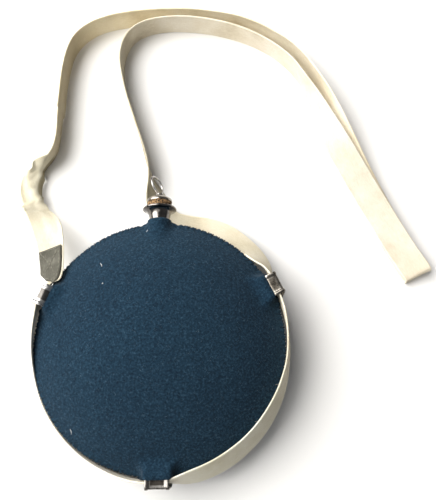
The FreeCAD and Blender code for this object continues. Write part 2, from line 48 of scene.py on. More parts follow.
BACK_SPHERE = math.hypot(REST_RADIUS, BACK_CENTRE)

# The camera, fitted to the photograph: its lens in millimetres, its place, and its turns in
# degrees, one after another. Then the window's light.
CAMERA_LENS = 43.2
CAMERA_PLACE = (0.052577, -0.063320, 0.516350)
CAMERA_TURNS = ((0.4457, "Y"), (16.2216, "X"), (-1.4326, "Z"))
WINDOW_PLACE = (-0.78, 0.44, 0.95)
DAYLIGHT = (1.0, 0.985, 0.955)

TAPE_WIDTH = 0.025
TAPE_THICKNESS = 0.0016
SLING_LENGTH = 1.89
FLOOR_GAP = 0.0003

# The felt: over the neck, where it rises over each loop's strip, and at its stitched edge.
FELT_THICKNESS = 0.0014
NECK_FELT = 0.0101
NECK_FELT_END = 0.1015
NECK_BLEND = 0.0045
NECK_HOLE = (0.0975, 0.0088)
TAB_KNEE = 0.0985
TAB_HEIGHT = 0.0159
TAB_ENDS = {"right": 0.0991, "bottom": 0.1013, "left": 0.0970}
TAB_HALF_WIDTH = 0.0112
TAB_BLEND = 0.008
STITCHES = 120
EDGE_GROWS = (0.962, 0.99)

# White lint on the front: x, y, length, and which way each thread lies.
LINT = [(-0.0449, 0.0620, 0.0038, 2.0), (-0.0662, -0.0659, 0.0042, 1.7),
        (-0.0095, 0.0925, 0.0030, 1.2), (-0.0420, 0.0450, 0.0014, 0.9)]

# The sling's route from the left loop over the table to the right loop, from where rim_route
# takes it round the rim: a point, then the direction across the tape.
SLING_ROUTE = [
    ((-0.095, 0.0413, 0.036), (0, 0, 1)),
    ((-0.0915, 0.0498, 0.0362), (0.2, 0, 1)),
    ((-0.0886, 0.0585, 0.0376), (0.75, 0, 0.75)),
    ((-0.089, 0.07, 0.038), (0.85, 0, 0.5)),
    ((-0.0925, 0.09, 0.034), (0.95, 0, 0.3)),
    ((-0.102, 0.112, 0.024), (1, 0.1, -0.3)),
    ((-0.1175, 0.1305, 0.0135), (0.8, -0.35, -0.5)),
    ((-0.1245, 0.1485, 0.0102), (0.7, -0.4, -0.6)),
    ((-0.117, 0.1655, 0.0128), (0.25, -0.1, -1)),
    ((-0.1035, 0.183, 0.0129), (-0.15, 0, -1)),
    ((-0.0955, 0.218, 0.0128), (-0.05, 0, -1)),
    ((-0.0945, 0.262, 0.0127), (0, 0, -1)),
    ((-0.087, 0.298, 0.0127), (0, 0, -1)),
    ((-0.062, 0.318, 0.0127), (0, 0, -1)),
    ((-0.02, 0.3245, 0.0127), (0, 0, -1)),
    ((0.035, 0.325, 0.0127), (0, 0, -1)),
    ((0.085, 0.312, 0.0127), (0, 0, -1)),
    ((0.128, 0.283, 0.0127), (0, 0, -1)),
    ((0.15, 0.245, 0.0127), (0, 0, -1)),
    ((0.1585, 0.21, 0.0125), (-0.4, -0.2, -1)),
    ((0.1715, 0.17, 0.009), (-0.8, -0.3, -0.6)),
    ((0.188, 0.13, 0.0048), (-0.9, -0.4, -0.25)),
    ((0.205, 0.092, 0.0044), (-0.9, -0.4, -0.25)),
    ((0.2145, 0.0715, 0.0042), (-0.9, -0.4, -0.2)),
    ((0.2193, 0.062, 0.0036), (-0.9, -0.4, -0.2)),
    ((0.2218, 0.0568, 0.0036), (-0.9, -0.4, -0.2)),
    ((0.2218, 0.0568, 0.0092), (-0.9, -0.4, -0.2)),
    ((0.2193, 0.062, 0.0092), (-0.9, -0.4, -0.2)),
    ((0.214, 0.0715, 0.0088), (-0.9, -0.4, -0.2)),
    ((0.2035, 0.092, 0.0086), (-0.9, -0.4, -0.25)),
    ((0.1855, 0.13, 0.0089), (-0.9, -0.4, -0.25)),
    ((0.167, 0.168, 0.0122), (-0.8, -0.3, -0.6)),
    ((0.15, 0.205, 0.0136), (-0.4, -0.2, -1)),
    ((0.139, 0.24, 0.0127), (0, 0, -1)),
    ((0.1185, 0.275, 0.0127), (0, 0, -1)),
    ((0.08, 0.302, 0.0127), (0, 0, -1)),
    ((0.033, 0.3155, 0.0127), (0, 0, -1)),
    ((-0.008, 0.316, 0.0127), (0, 0, -1)),
    ((-0.032, 0.304, 0.0127), (0, 0, -1)),
    ((-0.041, 0.278, 0.0127), (0, 0, -1)),
    ((-0.0365, 0.245, 0.0127), (0, 0, -1)),
    ((-0.022, 0.2, 0.0129), (0, 0, -1)),
    ((-0.0115, 0.16, 0.0129), (0.4, 0, -1)),
    ((-0.006, 0.133, 0.0068), (1, 0.1, -0.3)),
    ((0.002, 0.113, 0.0026), (0.9, 0.4, 0)),
    ((0.02, 0.1065, 0.004), (0.3, 0.9, 0)),
    ((0.04, 0.1035, 0.0095), (0.2, 0.9, -0.25)),
    ((0.059, 0.095, 0.017), (0.4, 0.7, -0.6)),
    ((0.076, 0.079, 0.025), (0.4, 0.4, -0.8)),
    ((0.087, 0.064, 0.0315), (0.15, 0.1, -1)),
    ((0.091, 0.0515, 0.0356), (0, 0, -1)),
]

# Where the tape turns otherwise than in the CAD, by control point: its face turns up sooner past
# the left loop, it lies flat for longer at the far end, and stays on edge for longer at the neck.
ACROSS_CHANGES = {
    1: (0.75, -0.10, 0.9), 2: (1.0, -0.15, 0.55), 3: (1.0, 0.0, 0.45), 4: (1.0, 0.05, 0.28),
    19: (-0.62, -0.20, -0.80), 20: (-0.88, -0.33, -0.38),
    31: (-0.88, -0.33, -0.38), 32: (-0.62, -0.20, -0.80),
    42: (-0.12, 0.0, -1.0), 43: (0.70, 0.1, -0.6), 48: (0.50, 0.48, -0.72),
    49: (0.42, 0.30, -0.86),
}

# The weave's warp and twill lines, the wall below the fold, where shade is painted, and the
# selvedges, where a highlight is painted, for their looks.
WARP_SPACING = 0.00078
TWILL_SPACING = 0.00105
TWILL_TURNS = 0.0031
SHADED_UNDER_FOLD = (0.0024, 0.0042)
SHADED_UNDER_FOLD_BEGINS = (0.102, 0.110)
SHADED_UNDER_FOLD_ENDS = (0.160, 0.152)
SELVEDGE_HIGHLIGHT = (0.0108, 0.0118)

# Inside the left loop the tape keeps to this distance from the middle, and is free from it
# between these places along the sling.
LOOP_ROOM = (0.0998, 0.1070)
LOOP_EXIT = (0.0105, 0.0170)

# The fold at the kink: where it begins and ends along the sling, how far it has come across
# the tape, the directions across below and above it, the dent in its upper edge (place, width,
# share), and the creases (from, to, depth, width). Places are in metres along the sling.
FOLD_BEGINS = (0.090, 0.107)
FOLD_ENDS = (0.155, 0.200)
FOLD_LINE = [(0.094, 0.0), (0.107, 0.42), (0.120, 0.34), (0.132, 0.32), (0.143, 0.62),
             (0.154, 1.1)]
FOLD_WIDTH = 0.0016
FOLD_SHIFT = Vector((0.0052, 0.0, -0.0008))
SHIFT_GROWS = (0.096, 0.108)
FOLD_STEPS = 10
DENT = (0.1365, 0.0042, 0.40)
WALL_LOW = Vector((0.05, 0.0, -1.0))
WALL_HIGH = Vector((-0.22, 0.0, -1.0))
WALL_TURNS = (0.116, 0.150)
BRIM_SIDE = Vector((0.95, 0.10, -0.12))
CREASES = [
    ((0.108, 0.25), (0.135, -0.85), 0.0034, 0.0020),
    ((0.112, -0.55), (0.126, -0.85), -0.0018, 0.0032),
    ((0.060, 0.30), (0.098, 0.05), -0.0018, 0.0024),
    ((0.040, -0.45), (0.090, -0.55), -0.0010, 0.0028),
]

# The stretch round the rim, by degrees clockwise from the neck: its top edge leans in over the
# front between the right and bottom loops, it has slipped down the back between the bottom and
# left loops, and it is tucked in just before the left one.
LOOP_ANGLES = {"right": 65.0, "bottom": 180.0, "left": 293.5}
TAPE_AT_LOOP = 0.1036
RIM_POINTS = 20
RIM_LEAN = 28.0
LEAN_GROWS = (60.0, 150.0)
LEAN_ENDS = (165.0, 178.0)
LEANING_INWARD = 0.0006
SLIPPED_LEAN = -15.0
SLIPPED_DROP = 0.014
SLIPPED_INWARD = 0.0043
TUCKED_LEAN = 12.0
TUCK_GROWS = (244.0, 268.0)
TUCK_ENDS = (281.0, 290.0)

# Tints by distance along the sling: mostly painted light and shade, darker where a stretch of
# tape faces away from the light and lighter where it faces it, with some yellowing and wear.
SLING_SHADING_AND_WEAR = [
    (0.0, (0.95, 0.95, 0.95)), (0.142, (0.93, 0.94, 0.89)), (0.158, (0.64, 0.61, 0.53)),
    (0.275, (0.68, 0.64, 0.54)), (0.300, (1.1, 1.07, 0.96)), (0.50, (1.14, 1.13, 1.10)),
    (0.64, (1.07, 1.04, 0.98)), (0.72, (0.99, 0.95, 0.88)), (0.80, (0.98, 0.98, 1.03)),
    (0.97, (0.98, 0.98, 1.03)), (1.05, (1.10, 1.09, 1.10)), (1.14, (1.10, 1.09, 1.08)),
    (1.20, (0.58, 0.56, 0.50)), (1.345, (0.54, 0.53, 0.48)), (1.368, (1.05, 1.04, 1.0)),
    (1.49, (1.0, 1.0, 0.97)), (1.54, (0.86, 0.87, 0.86)), (1.60, (0.86, 0.89, 0.89)),
    (1.66, (0.90, 0.93, 0.93)), (1.70, (1.08, 1.09, 1.15)), (1.86, (1.08, 1.09, 1.15)),
    (1.89, (0.9, 0.9, 0.88)),
]

# The sewn end of the sling, lapped over its outer face just past the left loop.
LAP_START = 0.0125
LAP_LENGTH = 0.0285
LAP_WIDTH = 0.0222
LAP_THICKNESS = 0.0017
LAP_LIFT = -0.0018
SEWING_INSET = 0.0018
SEWING_STITCHES = 9

# The tin loops' strip: half its width, distances from the middle and from the rim's plane, and
# where its end plate and the shelves beside it grow hollow.
STRIP_HALF_WIDTH = 0.009
STRIP_FOOT = (0.084, 0.0912)
STRIP_SUNK = 0.00135
STRIP_KNEE = 0.0985
STRIP_REACH = 0.1079
STRIP_HALF_HEIGHT = 0.0142
STRIP_CORNER = 0.0024
PLATE_GROWS = (0.1070, 0.1079)
SHELF_GROWS = (0.0985, 0.1015)
SHELF_TOP = (0.0130, 0.0138)

WHITE = (1.0, 1.0, 1.0)


def new_object(name, data):
    made = bpy.data.objects.new(name, data)
    bpy.context.collection.objects.link(made)
    return made


def add_camera():
    data = bpy.data.cameras.new("camera")
    data.lens = CAMERA_LENS
    data.clip_start = 0.01
    camera = new_object("camera", data)
    camera.matrix_world = Matrix.Translation(CAMERA_PLACE)
    for degrees, axis in CAMERA_TURNS:
        turn = Matrix.Rotation(math.radians(degrees), 4, axis)
        camera.matrix_world = camera.matrix_world @ turn
    bpy.context.scene.camera = camera


def soft_light(name, kind, place, power):
    """A light at a place, aimed at the canteen."""
    data = bpy.data.lights.new(name, kind)
    data.energy = power
    data.color = DAYLIGHT
    light = new_object(name, data)
    light.location = place
    aim = Vector((0.03, 0.08, 0.03)) - Vector(place)
    light.rotation_euler = aim.to_track_quat("-Z", "Y").to_euler()
    return data


def rim_route():
    """Control points round the rim, from the right loop by the bottom loop to the left one."""
    route = []
    right, bottom, left = LOOP_ANGLES.values()
    spread = 1 / math.cos(math.radians((left - right) / RIM_POINTS / 2))
    for index in range(RIM_POINTS + 1):
        angle = right + (left - right) * index / RIM_POINTS
        if angle < bottom:
            share = math.sin(math.pi * (angle - right) / (bottom - right)) ** 2
            leaning = smooth_step(*LEAN_GROWS, angle) - smooth_step(*LEAN_ENDS, angle)
            lean = math.radians(RIM_LEAN * leaning)
            radius = TAPE_AT_LOOP - LEANING_INWARD * share
            height = RIM_Z
        else:
            share = math.sin(math.pi * (angle - bottom) / (left - bottom)) ** 2
            tucked = smooth_step(*TUCK_GROWS, angle) - smooth_step(*TUCK_ENDS, angle)
            lean = math.radians(SLIPPED_LEAN * share + TUCKED_LEAN * tucked)
            radius = TAPE_AT_LOOP - SLIPPED_INWARD * share
            height = RIM_Z - SLIPPED_DROP * share
        radius *= spread
        turn = math.radians(angle)
        inward = (math.sin(turn) * math.sin(lean), math.cos(turn) * math.sin(lean))
        route.append(((math.sin(turn) * radius, math.cos(turn) * radius, height),
                      (*inward, -math.cos(lean))))
    return route


def smooth_line(points):
    """Points along the smooth curve that has these as its control points."""
    data = bpy.data.curves.new("route", "CURVE")
    data.dimensions = "3D"
    data.resolution_u = 14
    spline = data.splines.new("NURBS")
    spline.points.add(len(points) - 1)
    for point, place in zip(spline.points, points):
        point.co = (*place, 1)
    spline.order_u = 3
    spline.use_endpoint_u = True
    holder = new_object("route", data)
    bpy.context.view_layer.update()
    mesh = bpy.data.meshes.new_from_object(holder)
    line = [vertex.co.copy() for vertex in mesh.vertices]
    bpy.data.objects.remove(holder)
    bpy.data.curves.remove(data)
    bpy.data.meshes.remove(mesh)
    return line


def heading(line, index):
    """The way a line goes at one of its points."""
    return line[min(index + 1, len(line) - 1)] - line[max(index - 1, 0)]


def stations(line, sides):
    """For each point of a line: its place, direction across, normal, and distance along."""
    result = []
    along = 0.0
    for index, place in enumerate(line):
        tangent = heading(line, index).normalized()
        side = sides[index] - tangent * sides[index].dot(tangent)
        side.normalize()
        if index:
            along += (place - line[index - 1]).length
        result.append((place, side, tangent.cross(side), along))
    return result


def mesh_piece(name, points, faces, uvs=None):
    """A new mesh piece, with one texture place for each point where they are given."""
    mesh = bpy.data.meshes.new(name)
    mesh.from_pydata(points, [], faces)
    if uvs:
        layer = mesh.uv_layers.new(name="UVMap")
        for loop in mesh.loops:
            layer.data[loop.index].uv = uvs[loop.vertex_index]
    outward = bmesh.new()
    outward.from_mesh(mesh)
    bmesh.ops.recalc_face_normals(outward, faces=outward.faces)
    outward.to_mesh(mesh)
    outward.free()
    mesh.polygons.foreach_set("use_smooth", [True] * len(mesh.polygons))
    mesh.update()
    return new_object(name, mesh)


def tube_faces(rings, count, capped=True):
    """Faces between rings of this many points each, with ends."""
    faces = []
    for ring in range(rings - 1):
        for index in range(count):
            following = (index + 1) % count
            low = ring * count
            faces.append((low + index, low + following, low + count + following,
                          low + count + index))
    if capped:
        faces.append(tuple(reversed(range(count))))
        faces.append(tuple(range((rings - 1) * count, rings * count)))
    return faces


def tape_section(width, thickness):
    """Outline of the tape's section as (across, out), with thicker, rounded selvedges."""
    half = width / 2
    thick = thickness / 2
    edge = [(0.975, 0.55), (0.94, 0.95), (0.88, 1.0), (0.82, 0.82), (0.6, 0.8), (0.3, 0.8)]
    top = [(-across, out) for across, out in edge] + [(0.0, 0.8)] + edge[::-1]
    outline = [(-half, 0.0)]
    outline += [(across * half, out * thick) for across, out in top]
    outline.append((half, 0.0))
    outline += [(across * half, -out * thick) for across, out in reversed(top)]
    return outline


def tape(name, places, width, thickness, shape, lift=0.0):
    """A woven tape through the stations; shape(along, across) moves it out of its plane."""
    outline = tape_section(width, thickness)
    points = []
    uvs = []
    for station in places:
        for across, out in outline:
            moved = lift + out + shape(station[3], across / (width / 2))
            points.append(on_tape(station, across, moved))
            uvs.append((station[3], across))
    return mesh_piece(name, points, tube_faces(len(places), len(outline)), uvs)


def on_tape(station, across, lift):
    """A point of the tape at a station, where a fold runs slantwise across it at the kink."""
    place, side, normal, along = station
    if along < LOOP_EXIT[1]:
        spot = place + side * across + normal * lift
        distance = math.hypot(spot.x, spot.y)
        kept = min(max(distance, LOOP_ROOM[0]), LOOP_ROOM[1])
        kept += (distance - kept) * smooth_step(*LOOP_EXIT, along)
        return Vector((spot.x * kept / distance, spot.y * kept / distance, spot.z))
    strength = smooth_step(*FOLD_BEGINS, along) * (1 - smooth_step(*FOLD_ENDS, along))
    if strength == 0:
        return above_floor(place + side * across + normal * lift)
    tangent = side.cross(normal)
    wall = WALL_LOW.lerp(WALL_HIGH, smooth_step(*WALL_TURNS, along))
    wall -= tangent * wall.dot(tangent)
    brim = BRIM_SIDE - tangent * BRIM_SIDE.dot(tangent)
    fold = TAPE_WIDTH / 2 * (1 - 2 * fold_share(along))
    place = place + FOLD_SHIFT * smooth_step(*SHIFT_GROWS, along) * strength
    if across < 0:
        across *= 1 - DENT[2] * math.exp(-((along - DENT[0]) / DENT[1]) ** 2)
    for step in range(FOLD_STEPS):
        spot = across * (step + 0.5) / FOLD_STEPS
        share = smooth_step(fold - FOLD_WIDTH, fold + FOLD_WIDTH, spot)
        folded = brim.normalized().lerp(wall.normalized(), share)
        direction = side.lerp(folded, strength).normalized()
        place = place + direction * (across / FOLD_STEPS)
    return above_floor(place - tangent.cross(direction) * lift)


def above_floor(place):
    return Vector((place.x, place.y, max(place.z, FLOOR_GAP)))


def fold_share(along):
    """How far the fold has come across the tape, from its lower edge at 0 to its upper at 1."""
    for (start, low), (end, high) in zip(FOLD_LINE, FOLD_LINE[1:]):
        if along < end:
            return low + (high - low) * max(along - start, 0) / (end - start)
    return FOLD_LINE[-1][1]


def limp_shape(along, across):
    """How the old tape cups and waves, and how it creases at the kink, in metres."""
    cup = 0.0005 * noise.noise((along * 14, 3.1, 0.7)) * (1 - across * across)
    wave = 0.00055 * across * noise.noise((along * 32, 7.7, 1.3))
    creases = 0.0
    for (start_along, start), (end_along, end), depth, width in CREASES:
        run = Vector((end_along - start_along, (end - start) * TAPE_WIDTH / 2))
        spot = Vector((along - start_along, (across - start) * TAPE_WIDTH / 2))
        share = min(max(spot.dot(run) / run.length_squared, -0.15), 1.15)
        away = (spot - run * share).length
        creases += depth * math.exp(-(away / width) ** 2)
    return cup + wave + creases


# Materials

class Look:
    """A material's nodes, with short ways to add to them."""

    def __init__(self, name):
        self.material = bpy.data.materials.new(name)
        self.material.use_nodes = True
        self.nodes = self.material.node_tree.nodes
        self.place = self.add("ShaderNodeTexCoord").outputs["Object"]

    def fill(self, node, inputs):
        """Gives each of these sockets its constant, or another node's output."""
        for name, value in inputs.items():
            if isinstance(value, bpy.types.NodeSocket):
                self.material.node_tree.links.new(value, node.inputs[name])
            else:
                node.inputs[name].default_value = value

    def add(self, kind, inputs=None, **settings):
        node = self.nodes.new(kind)
        for name, value in settings.items():
            setattr(node, name, value)
        self.fill(node, inputs or {})
        return node

    def noise(self, scale, detail, roughness, place=None):
        return self.add("ShaderNodeTexNoise", {
            "Scale": scale, "Detail": detail, "Roughness": roughness,
            "Vector": place or self.place}).outputs["Fac"]

    def cells(self, scale, place):
        node = self.add("ShaderNodeTexVoronoi", {"Scale": scale, "Vector": place})
        return node.outputs["Distance"]

    def stretched(self, factors, place=None):
        return self.add("ShaderNodeMapping", {
            "Scale": factors, "Vector": place or self.place}).outputs["Vector"]

    def math(self, operation, *values):
        node = self.add("ShaderNodeMath", dict(enumerate(values)), operation=operation)
        return node.outputs["Value"]

    def ramp(self, value, stops):
        node = self.add("ShaderNodeValToRGB", {"Fac": value})
        elements = node.color_ramp.elements
        elements[0].position = stops[0][0]
        elements[1].position = stops[-1][0]
        for position, colour in stops[1:-1]:
            elements.new(position)
        for element, (position, colour) in zip(elements, stops):
            element.color = (*colour, 1)
        return node.outputs["Color"]

    def times(self, first, second):
        return self.math("MULTIPLY", first, second)

    def mask(self, value, low, high):
        """A smooth step from 0 at low to 1 at high."""
        node = self.add("ShaderNodeMapRange", {"Value": value, "From Min": low, "From Max": high},
                        interpolation_type="SMOOTHSTEP")
        return node.outputs["Result"]

    def weighted(self, first, share, second, other):
        """The sum of two values, each times its share."""
        return self.math("ADD", self.times(first, share), self.times(second, other))

    def tinted(self, colour, tint, amount=1.0):
        """A colour multiplied by a tint."""
        node = self.add("ShaderNodeMix", {0: amount, 6: colour, 7: tint},
                        data_type="RGBA", blend_type="MULTIPLY")
        return node.outputs[2]

    def stained(self, colour, mask, at_none, at_full):
        """A colour multiplied by a tint that goes with the mask."""
        return self.tinted(colour, self.ramp(mask, [(0.0, at_none), (1.0, at_full)]))

    def along_tape(self):
        """Texture places, and the distances along and across a strip that they give."""
        place = self.add("ShaderNodeUVMap", uv_map="UVMap").outputs["UV"]
        split = self.add("ShaderNodeSeparateXYZ", {"Vector": place})
        return place, split.outputs["X"], split.outputs["Y"]

    def bump(self, height, distance, strength, below=None):
        inputs = {"Height": height, "Distance": distance, "Strength": strength}
        if below:
            inputs["Normal"] = below
        return self.add("ShaderNodeBump", inputs).outputs["Normal"]

    def finish(self, colour, roughness, normal, **constants):
        inputs = {"Base Color": colour, "Roughness": roughness, "Normal": normal}
        inputs.update((name.replace("_", " "), value) for name, value in constants.items())
        self.fill(self.nodes["Principled BSDF"], inputs)
        return self.material


def felt_look():
    """Fulled wool: mottled blue-grey with pale fibres, a little faded here and there."""
    look = Look("wool_felt")
    fine = look.noise(1500, 4, 0.75)
    mottled = look.noise(600, 3, 0.6)
    broad = look.noise(16, 2, 0.5)
    colour = look.ramp(look.weighted(fine, 0.45, mottled, 0.55), [
        (0.34, (0.002, 0.009, 0.018)), (0.45, (0.005, 0.018, 0.034)),
        (0.55, (0.010, 0.033, 0.058)), (0.65, (0.029, 0.063, 0.097)),
        (0.77, (0.10, 0.145, 0.20))])
    fading = look.ramp(broad, [(0.35, (0.86, 0.88, 0.90)), (0.65, WHITE)])
    colour = look.tinted(colour, fading)
    fibres = look.noise(900, 5, 0.8, look.stretched((1.0, 2.6, 1.4)))
    normal = look.bump(look.noise(240, 3, 0.6), 0.0006, 0.7)
    normal = look.bump(fibres, 0.0004, 0.9, normal)
    return look.finish(colour, 0.96, normal, Sheen_Weight=0.10, Sheen_Roughness=0.45,
                       Sheen_Tint=(0.62, 0.75, 0.88, 1.0), Specular_IOR_Level=0.15)


def fibre_look(name, dark, pale):
    """Loose wool or thread, with a shade that varies from strand to strand."""
    look = Look(name)
    colour = look.ramp(look.noise(260, 2, 0.5), [(0.35, dark), (0.65, pale)])
    normal = look.bump(look.noise(3800, 2, 0.6), 0.0001, 0.8)
    return look.finish(colour, 0.9, normal, Specular_IOR_Level=0.2)


def tape_look(name, shades, soiling, shading_and_wear=None):
    """Woven cotton tape; its texture places run along and across it, in metres.

    The last argument gives tints by distance along the sling, mostly painted light and shade with
    some wear, and brings the painted shade on the wall below the fold and the painted highlight
    along the selvedges.
    """
    look = Look(name)
    place, along, across = look.along_tape()
    warp = look.math("SINE", look.times(across, 2 * math.pi / WARP_SPACING))
    zigzag = look.math("PINGPONG", across, TWILL_TURNS)
    slant = look.math("ADD", along, zigzag)
    twill = look.math("SINE", look.times(slant, 2 * math.pi / TWILL_SPACING))
    weave = look.weighted(warp, 0.35, twill, 0.65)
    uneven = look.noise(900, 3, 0.6)
    weave = look.math("ADD", weave, look.times(uneven, 1.4))
    stains = look.noise(26, 4, 0.62)
    threads = look.noise(1500, 2, 0.6, look.stretched((0.12, 1.0, 1.0), place))
    base = look.ramp(look.weighted(stains, 0.7, threads, 0.3), shades)
    colour = look.stained(base, look.mask(weave, -0.6, 0.5), soiling, WHITE)
    if shading_and_wear:
        # Tints along the sling, mostly painted light and shade: darker on stretches that face
        # away from the light, lighter on those that face it.
        spots = [(distance / SLING_LENGTH, tint) for distance, tint in shading_and_wear]
        tints = look.ramp(look.math("DIVIDE", along, SLING_LENGTH), spots)
        colour = look.tinted(colour, tints)
        # Painted shade: the wall below the fold is darkened where it faces away from the light.
        below = look.times(look.mask(across, *SHADED_UNDER_FOLD), look.mask(along, *SHADED_UNDER_FOLD_BEGINS))
        below = look.times(below, look.mask(along, *SHADED_UNDER_FOLD_ENDS))
        colour = look.stained(colour, below, WHITE, (0.50, 0.47, 0.40))
        # Painted highlight: the selvedges are lightened.
        selvedge_highlight = look.mask(look.math("ABSOLUTE", across), *SELVEDGE_HIGHLIGHT)
        colour = look.stained(colour, selvedge_highlight, WHITE, (1.2, 1.22, 1.25))
    normal = look.bump(look.noise(70, 3, 0.5), 0.0005, 0.5)
    normal = look.bump(weave, 0.00016, 0.9, normal)
    return look.finish(colour, 0.88, normal, Sheen_Weight=0.08, Specular_IOR_Level=0.2)


def tin_look(name, dark, light, roughness, scratches=0.5, spots=(0.10, 0.075, 0.05),
             middle=None, room=(0.0052, 0.1050)):
    """Old tinplate: grey with brown spots, fine scratches and duller patches.

    middle darkens a loop's strip within this room sideways and outward, while its hems and outer
    corner stay light: grime in the middle and a painted highlight on the hems and corner.
    """
    look = Look(name)
    patches = look.noise(120, 5, 0.65)
    lines = look.noise(700, 3, 0.7, look.stretched((1.0, 0.06, 0.25)))
    colour = look.ramp(look.weighted(patches, 0.7, lines, 0.3), [(0.36, dark), (0.62, light)])
    rust = look.ramp(look.noise(520, 4, 0.7), [(0.60, WHITE), (0.72, spots)])
    colour = look.tinted(colour, rust, 0.6)
    if middle:
        along, across = look.along_tape()[1:]
        ragged = look.times(patches, 0.0012)
        sideways = look.math("ADD", look.math("ABSOLUTE", along), ragged)
        outward = look.math("ADD", across, ragged)
        corner = look.times(look.mask(outward, room[1], room[1] + 0.0012),
                            look.mask(outward, 0.1083, 0.1079))
        # Painted highlight: the hems and the outer corner keep the lighter colour while the
        # middle of the strip is darkened as grime.
        edges = look.math("MAXIMUM", look.mask(sideways, room[0], room[0] + 0.0008), corner)
        colour = look.stained(colour, edges, middle, WHITE)
    rough = look.math("ADD", look.times(patches, 0.35), roughness)
    normal = look.bump(look.noise(90, 2, 0.5), 0.0005, 0.35)
    normal = look.bump(lines, 0.00006, scratches, normal)
    return look.finish(colour, rough, normal, Metallic=1.0)


def cork_look():
    """Cork: tan, with darker grain and nearly black pits."""
    look = Look("cork_grain")
    grain = look.noise(260, 4, 0.65)
    colour = look.ramp(grain, [(0.32, (0.12, 0.065, 0.028)), (0.48, (0.28, 0.165, 0.075)),
                               (0.66, (0.46, 0.30, 0.155))])
    pits = look.mask(look.cells(430, look.stretched((1.0, 0.7, 1.0))), 0.19, 0.33)
    flecks = look.mask(look.noise(620, 3, 0.6), 0.44, 0.53)
    colour = look.stained(colour, look.times(pits, flecks), (0.06, 0.045, 0.04), WHITE)
    normal = look.bump(look.math("ADD", grain, look.times(pits, 0.8)), 0.0004, 0.9)
    return look.finish(colour, 0.82, normal, Specular_IOR_Level=0.25)


def floor_look():
    look = Look("pale_table")
    colour = look.ramp(look.noise(3.0, 2, 0.5), [(0.3, (0.86, 0.85, 0.84)),
                                                 (0.7, (0.90, 0.895, 0.885))])
    return look.finish(colour, 0.75, look.bump(look.noise(220, 3, 0.6), 0.0002, 0.15),
                       Specular_IOR_Level=0.2)


def settle(piece, look, body, slot, *nodes):
    """Gives a piece its material and body, and hides the CAD nodes that it replaces; slot is not
    used.
    """
    piece.data.materials.append(look)
    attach(piece, body)
    if nodes:
        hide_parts(*nodes)


# Shapes

def smooth_step(low, high, value):
    share = min(max((value - low) / (high - low), 0.0), 1.0)
    return share * share * (3 - 2 * share)


def soft_min(first, second, reach):
    gap = max(reach - abs(first - second), 0.0) / reach
    return min(first, second) - gap * gap * reach / 4


def soft_max(first, second, reach):
    return -soft_min(-first, -second, reach)


def at_rim(angle, radius, sideways, z):
    """A point by clockwise angle from the neck, distance from the axis, and offset sideways."""
    turn = math.radians(angle)
    return Vector((math.sin(turn) * radius + math.cos(turn) * sideways,
                   math.cos(turn) * radius - math.sin(turn) * sideways, z))


def neck_distance(x, y, height):
    """How far a point is outside the felt over the neck."""
    return soft_max(math.hypot(x, height) - NECK_FELT, y - NECK_FELT_END, 0.001)


def tab_distance(outward, sideways, height, end):
    """How far a point is outside the felt that rises over a loop's strip and ends here."""
    ramp = (height - TAB_HEIGHT) * 0.68 - (outward - TAB_KNEE) * 0.73
    top = height - TAB_HEIGHT - 0.0003
    section = soft_max(soft_max(ramp, top, 0.002), outward - end, 0.0012)
    return soft_max(section, sideways - TAB_HALF_WIDTH, 0.004)


def from_fittings(angle):
    """Degrees between this angle and the nearest of the neck and the loops."""
    return min(abs((angle - place + 180) % 360 - 180) for place in (0.0, *LOOP_ANGLES.values()))


class Half:
    """The felt's outer surface on one side of the rim: up is 1 for the front, -1 for the back.

    Heights are distances from the rim's plane.
    """

    def __init__(self, up):
        self.up = up
        self.sphere = FRONT_SPHERE if up > 0 else BACK_SPHERE
        self.centre = (FRONT_CENTRE - RIM_Z) if up > 0 else (RIM_Z - BACK_CENTRE)
        self.limit = 1.0 if up > 0 else RIM_Z

    def dome(self, radius):
        rise = self.centre + math.sqrt(self.sphere ** 2 - radius ** 2)
        return min(rise, self.limit)

    def distance(self, x, y, height):
        body = math.sqrt(x * x + y * y + (height - self.centre) ** 2) - self.sphere
        body = max(body, height - self.limit)
        if y > 0.06:
            body = soft_min(body, neck_distance(x, y, height), NECK_BLEND)
        for loop, angle in LOOP_ANGLES.items():
            turn = math.radians(angle)
            outward = x * math.sin(turn) + y * math.cos(turn)
            sideways = abs(x * math.cos(turn) - y * math.sin(turn))
            if outward > 0.07:
                tab = tab_distance(outward, sideways, height, TAB_ENDS[loop])
                body = soft_min(body, tab, TAB_BLEND)
        return body

    def point(self, radius, angle):
        """The place on the felt that belongs to this radius and angle.

        Near the neck and the loops it is found by steps inward from well outside the felt.
        """
        turn = math.radians(angle)
        tilt = math.asin(min(radius / self.sphere, 1.0))
        tilt += (math.pi / 2 - tilt) * smooth_step(0.9, 1.0, radius / COVER_RADIUS)
        reach = 0.0
        if from_fittings(angle) < 22 and radius > 0.06:
            reach = 0.03
            for step in range(60):
                outward = radius + math.sin(tilt) * reach
                gap = self.distance(math.sin(turn) * outward, math.cos(turn) * outward,
                                    self.dome(radius) + math.cos(tilt) * reach)
                reach -= gap
                if gap < 0.00002 or reach <= 0:
                    break
            reach = max(reach, 0.0)
        outward = radius + math.sin(tilt) * reach
        height = self.dome(radius) + math.cos(tilt) * reach
        spot = at_rim(angle, outward, 0, 0)
        relief = 0.0003 * noise.noise(spot * 38) + 0.00012 * noise.noise(spot * 150)
        edge = smooth_step(*EDGE_GROWS, radius / COVER_RADIUS)
        pinch = 0.5 + 0.5 * math.cos(turn * STITCHES)
        relief += edge * (0.0007 - 0.0010 * pinch)
        height = max(height + relief * math.cos(tilt), 0.0)
        outward += relief * math.sin(tilt)
        return at_rim(angle, outward, 0, max(RIM_Z + self.up * height, 0.0))

    def over(self, x, y):
        return self.point(math.hypot(x, y), math.degrees(math.atan2(x, y)))


